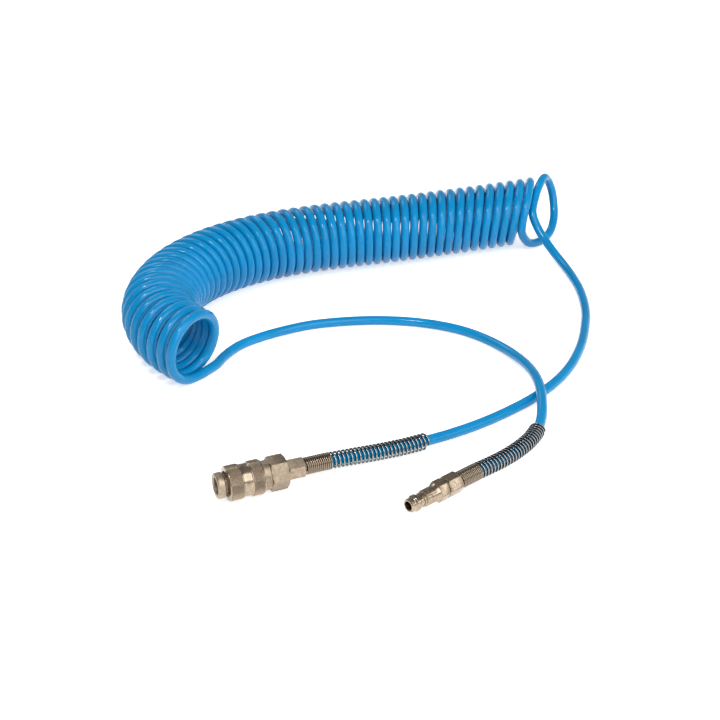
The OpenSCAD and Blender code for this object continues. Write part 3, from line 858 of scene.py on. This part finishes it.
class AIRHOSE_OT_sleeve(bpy.types.Operator):
    """The coupler's pull-back sleeve with two knurled bands"""

    bl_idname = "airhose.sleeve"
    bl_label = "Coupler sleeve"

    # All in millimetres, with places measured from the coupler's front
    FRONT, REAR = 7.5, 33.5
    RADIUS = 12.75
    FRONT_BAND = (8.3, 17.2)
    REAR_BAND = (24.8, 32.7)

    # An end face's edge: depth behind the face, and radius; it ends just before the band
    EDGE = [(0, 11.8), (0.08, 12.0)]
    EDGE_END = 0.6

    # The groove between the bands: its middle, the radius of its floor, and its flanks from the
    # floor up, as distance from the middle and height over the floor, to just before the bands
    GROOVE = 21
    GROOVE_RADIUS = 11.75
    FLANK = [(2.75, 0), (3, 0.05), (3.15, 0.25)]
    FLANK_END = 3.5

    # How far the metal beside a band lies under the knurl's valleys
    UNDER_AT_EDGE = 0.04
    UNDER_AT_FLANK = 0.06

    # Inside, from the rear face forwards: the bore over the body, the room for the spring, the
    # land that keeps the balls in, and the cam that frees them
    INSIDE = [
        (33.5, 11.1), (33.3, 10.9), (21.8, 10.9), (21.8, 10.2), (16.5, 10.2),
        (16.5, 7.87), (12.95, 7.87), (7.5, 9.3),
    ]

    # Points further out than the first are a band's, and so are faces whose middle is further
    # out than the second
    BAND_POINTS = 12
    BAND_FACES = 12.2

    def execute(self, context):
        fitting = context.scene.air_hose.fitting
        columns = 2 * fitting.knurl_count
        depth = fitting.knurl_depth / MM
        rows = {}
        outline = self.outline(columns, depth, rows)
        mesh = bpy.data.meshes.new("knurled_sleeve")
        loop = [(i, (i + 1) % len(outline)) for i in range(len(outline))]
        mesh.from_pydata([(x * MM, r * MM, 0) for x, r in outline], loop, [])
        piece = new_object("knurled_sleeve", mesh)
        bpy.ops.object.mode_set(mode="EDIT")
        bpy.ops.mesh.select_all(action="SELECT")
        bpy.ops.mesh.spin(
            steps=columns, angle=2 * math.pi, center=(0, 0, 0), axis=(1, 0, 0)
        )
        bpy.ops.mesh.select_all(action="SELECT")
        bpy.ops.mesh.remove_doubles(threshold=SAME_PLACE)
        bpy.ops.mesh.normals_make_consistent(inside=False)
        bpy.ops.object.mode_set(mode="OBJECT")
        self.knurl(mesh, columns, rows)
        bpy.ops.object.mode_set(mode="EDIT")
        bpy.ops.mesh.quads_convert_to_tris(quad_method="SHORTEST_DIAGONAL")
        bpy.ops.object.mode_set(mode="OBJECT")
        mesh.transform(Matrix.Translation(COUPLER_FRONT))
        smooth_shading(piece, SLEEVE_SHADING)
        mesh.materials.append(nickel_material("nickel_sleeve", fitting.colour, roughness=0.2))
        mesh.materials.append(knurl_material(fitting.colour))
        self.paint_bands(mesh)
        belongs(piece, "sleeve", "nickel", "coupler_sleeve")
        return {"FINISHED"}

    def band(self, ends, columns, depth, rows):
        """Outline points of a knurled band, low at first; rows keeps which they are"""
        first, last = ends
        count = round((last - first) / (2 * math.pi * self.RADIUS / columns))
        low = self.RADIUS - depth
        points = [(first, low)]
        for row in range(1, count):
            x = first + (last - first) * row / count
            rows[round(x, 4)] = row
            points.append((x, low))
        return [*points, (last, low)]

    def outline(self, columns, depth, rows):
        """Half section of the sleeve: along the axis, and radius"""
        low = self.RADIUS - depth
        edge = [*self.EDGE, (self.EDGE_END, low - self.UNDER_AT_EDGE)]
        flank = [
            *((x, self.GROOVE_RADIUS + height) for x, height in self.FLANK),
            (self.FLANK_END, low - self.UNDER_AT_FLANK),
        ]
        return [
            *((self.FRONT + x, r) for x, r in edge),
            *self.band(self.FRONT_BAND, columns, depth, rows),
            *((self.GROOVE - x, r) for x, r in reversed(flank)),
            *((self.GROOVE + x, r) for x, r in flank),
            *self.band(self.REAR_BAND, columns, depth, rows),
            *((self.REAR - x, r) for x, r in reversed(edge)),
            *self.INSIDE,
        ]

    def knurl(self, mesh, columns, rows):
        """Raises every second point of the bands, like the squares of a chessboard"""
        crests = [0.0] * len(mesh.vertices)
        for vertex in mesh.vertices:
            x, y, z = vertex.co
            radius = math.hypot(y, z)
            row = rows.get(round(x / MM, 4))
            if row is None or radius < self.BAND_POINTS * MM:
                continue
            column = round(math.atan2(z, y) / (2 * math.pi) * columns)
            if (row + column) % 2 == 0:
                vertex.co = (x, y * self.RADIUS * MM / radius, z * self.RADIUS * MM / radius)
                crests[vertex.index] = 1.0
        mark_crests(mesh, crests)
        for face in mesh.polygons:
            face.select = self.in_band(face.center)

    def in_band(self, centre):
        """Whether a face's middle, measured from the coupler's front, is on a band"""
        if math.hypot(centre.y, centre.z) < self.BAND_FACES * MM:
            return False
        bands = (self.FRONT_BAND, self.REAR_BAND)
        return any(first < centre.x / MM < last for first, last in bands)

    def paint_bands(self, mesh):
        """Faces of the bands take the second material"""
        for face in mesh.polygons:
            face.material_index = int(self.in_band(face.center - COUPLER_FRONT))


class AIRHOSE_OT_fittings(bpy.types.Operator):
    """The turned and hexagonal pieces of the coupler and the plug"""

    bl_idname = "airhose.fittings"
    bl_label = "Fittings"

    def execute(self, context):
        fitting = context.scene.air_hose.fitting
        coupler = nickel_material("nickel_coupler", fitting.colour, roughness=0.42)
        # The body takes a darker copy of the same nickel: painted shade on its hexagon
        body = nickel_material("nickel_body_shaded", shade(fitting.colour, 0.8), roughness=0.42)
        plug = nickel_material(
            "nickel_plug", fitting.colour, roughness=0.2, turn=PLUG_TURN, grain_bump=0.08
        )
        finishes = {
            "coupler_barrel": coupler, "coupler_body": body, "coupler_nut": coupler,
            "plug_body": plug, "plug_nut": plug,
        }
        for node, material in finishes.items():
            piece = with_broken_edges(node, node + "_finished", fitting.edge)
            paint(piece, material)
            belongs(piece, "base", "nickel", node)
        return {"FINISHED"}


class AIRHOSE_OT_inner_parts(bpy.types.Operator):
    """The lock balls, valve, seals and springs inside the coupler"""

    bl_idname = "airhose.inner_parts"
    bl_label = "Inner parts"

    def execute(self, context):
        fitting = context.scene.air_hose.fitting
        rubber = rubber_material()
        ball_steel = steel_material("ball_steel", (0.62, 0.62, 0.62), roughness=0.15)
        spring_steel = steel_material("inner_spring_steel", (0.5, 0.5, 0.5), roughness=0.3)
        valve = nickel_material("nickel_valve", fitting.colour, roughness=0.3)
        finishes = {"bore_seal": rubber, "valve_seal": rubber, "valve_poppet": valve}
        for number in range(1, 7):
            finishes[f"lock_ball_{number}"] = ball_steel
        for node, material in finishes.items():
            paint_node(node, material)
        self.add_spring(
            "sleeve_return_spring", "sleeve_spring", "sleeve_slide", SLEEVE_WIRE, spring_steel
        )
        self.add_spring(
            "valve_return_spring", "valve_spring", "valve_slide", VALVE_WIRE, spring_steel
        )
        return {"FINISHED"}

    def add_spring(self, name, node, joint, wire, material):
        """A spring wound between the front and rear of its CAD node; the joint is not used"""
        front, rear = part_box(node)
        radius = (rear[1] - front[1] - wire) / 2
        line = self.helix(front[0] + wire / 2, rear[0] - wire / 2, radius)
        piece = wire_piece(name, line, wire)
        paint(piece, material)
        belongs(piece, "base", "spring_steel", node)
        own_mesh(piece)

    def helix(self, front, rear, radius):
        """A line wound round the coupler's axis between two places along it"""
        steps = round(INNER_CURLS * STEPS_PER_TURN)
        line = []
        for i in range(steps + 1):
            angle = 2 * math.pi * i / STEPS_PER_TURN
            line.append(Vector((
                front + (rear - front) * i / steps,
                COUPLER_FRONT.y + radius * math.sin(angle),
                COUPLER_FRONT.z - radius * math.cos(angle),
            )))
        return line


class AIRHOSE_PT_panel(bpy.types.Panel):
    """The air hose's operators and settings"""

    bl_label = "Coiled Air Hose"
    bl_idname = "AIRHOSE_PT_panel"
    bl_space_type = "VIEW_3D"
    bl_region_type = "UI"
    bl_category = "Air Hose"

    def draw(self, context):
        settings = context.scene.air_hose
        for operator in OPERATORS:
            self.layout.operator(operator.bl_idname)
        for group in (settings.hose, settings.spring, settings.fitting, settings.stage):
            box = self.layout.box()
            for name in group.bl_rna.properties.keys():
                if name not in ("rna_type", "name"):
                    box.prop(group, name)


GROUPS = [HoseSettings, SpringSettings, FittingSettings, StageSettings, AirHoseSettings]
OPERATORS = [
    AIRHOSE_OT_stage, AIRHOSE_OT_hose, AIRHOSE_OT_bend_springs, AIRHOSE_OT_sleeve,
    AIRHOSE_OT_fittings, AIRHOSE_OT_inner_parts,
]


def register():
    """Makes the panel, the operators and their settings known"""
    for cls in [*GROUPS, *OPERATORS, AIRHOSE_PT_panel]:
        bpy.utils.register_class(cls)
    bpy.types.Scene.air_hose = bpy.props.PointerProperty(type=AirHoseSettings)


def unregister():
    """Takes them all away again"""
    del bpy.types.Scene.air_hose
    for cls in reversed([*GROUPS, *OPERATORS, AIRHOSE_PT_panel]):
        bpy.utils.unregister_class(cls)


def main():
    """Dresses the frame"""
    register()
    bpy.context.scene.view_settings.view_transform = "Standard"
    bpy.ops.airhose.stage()
    bpy.ops.airhose.hose()
    bpy.ops.airhose.bend_springs()
    bpy.ops.airhose.sleeve()
    bpy.ops.airhose.fittings()
    bpy.ops.airhose.inner_parts()


if __name__ == "__main__":
    main()
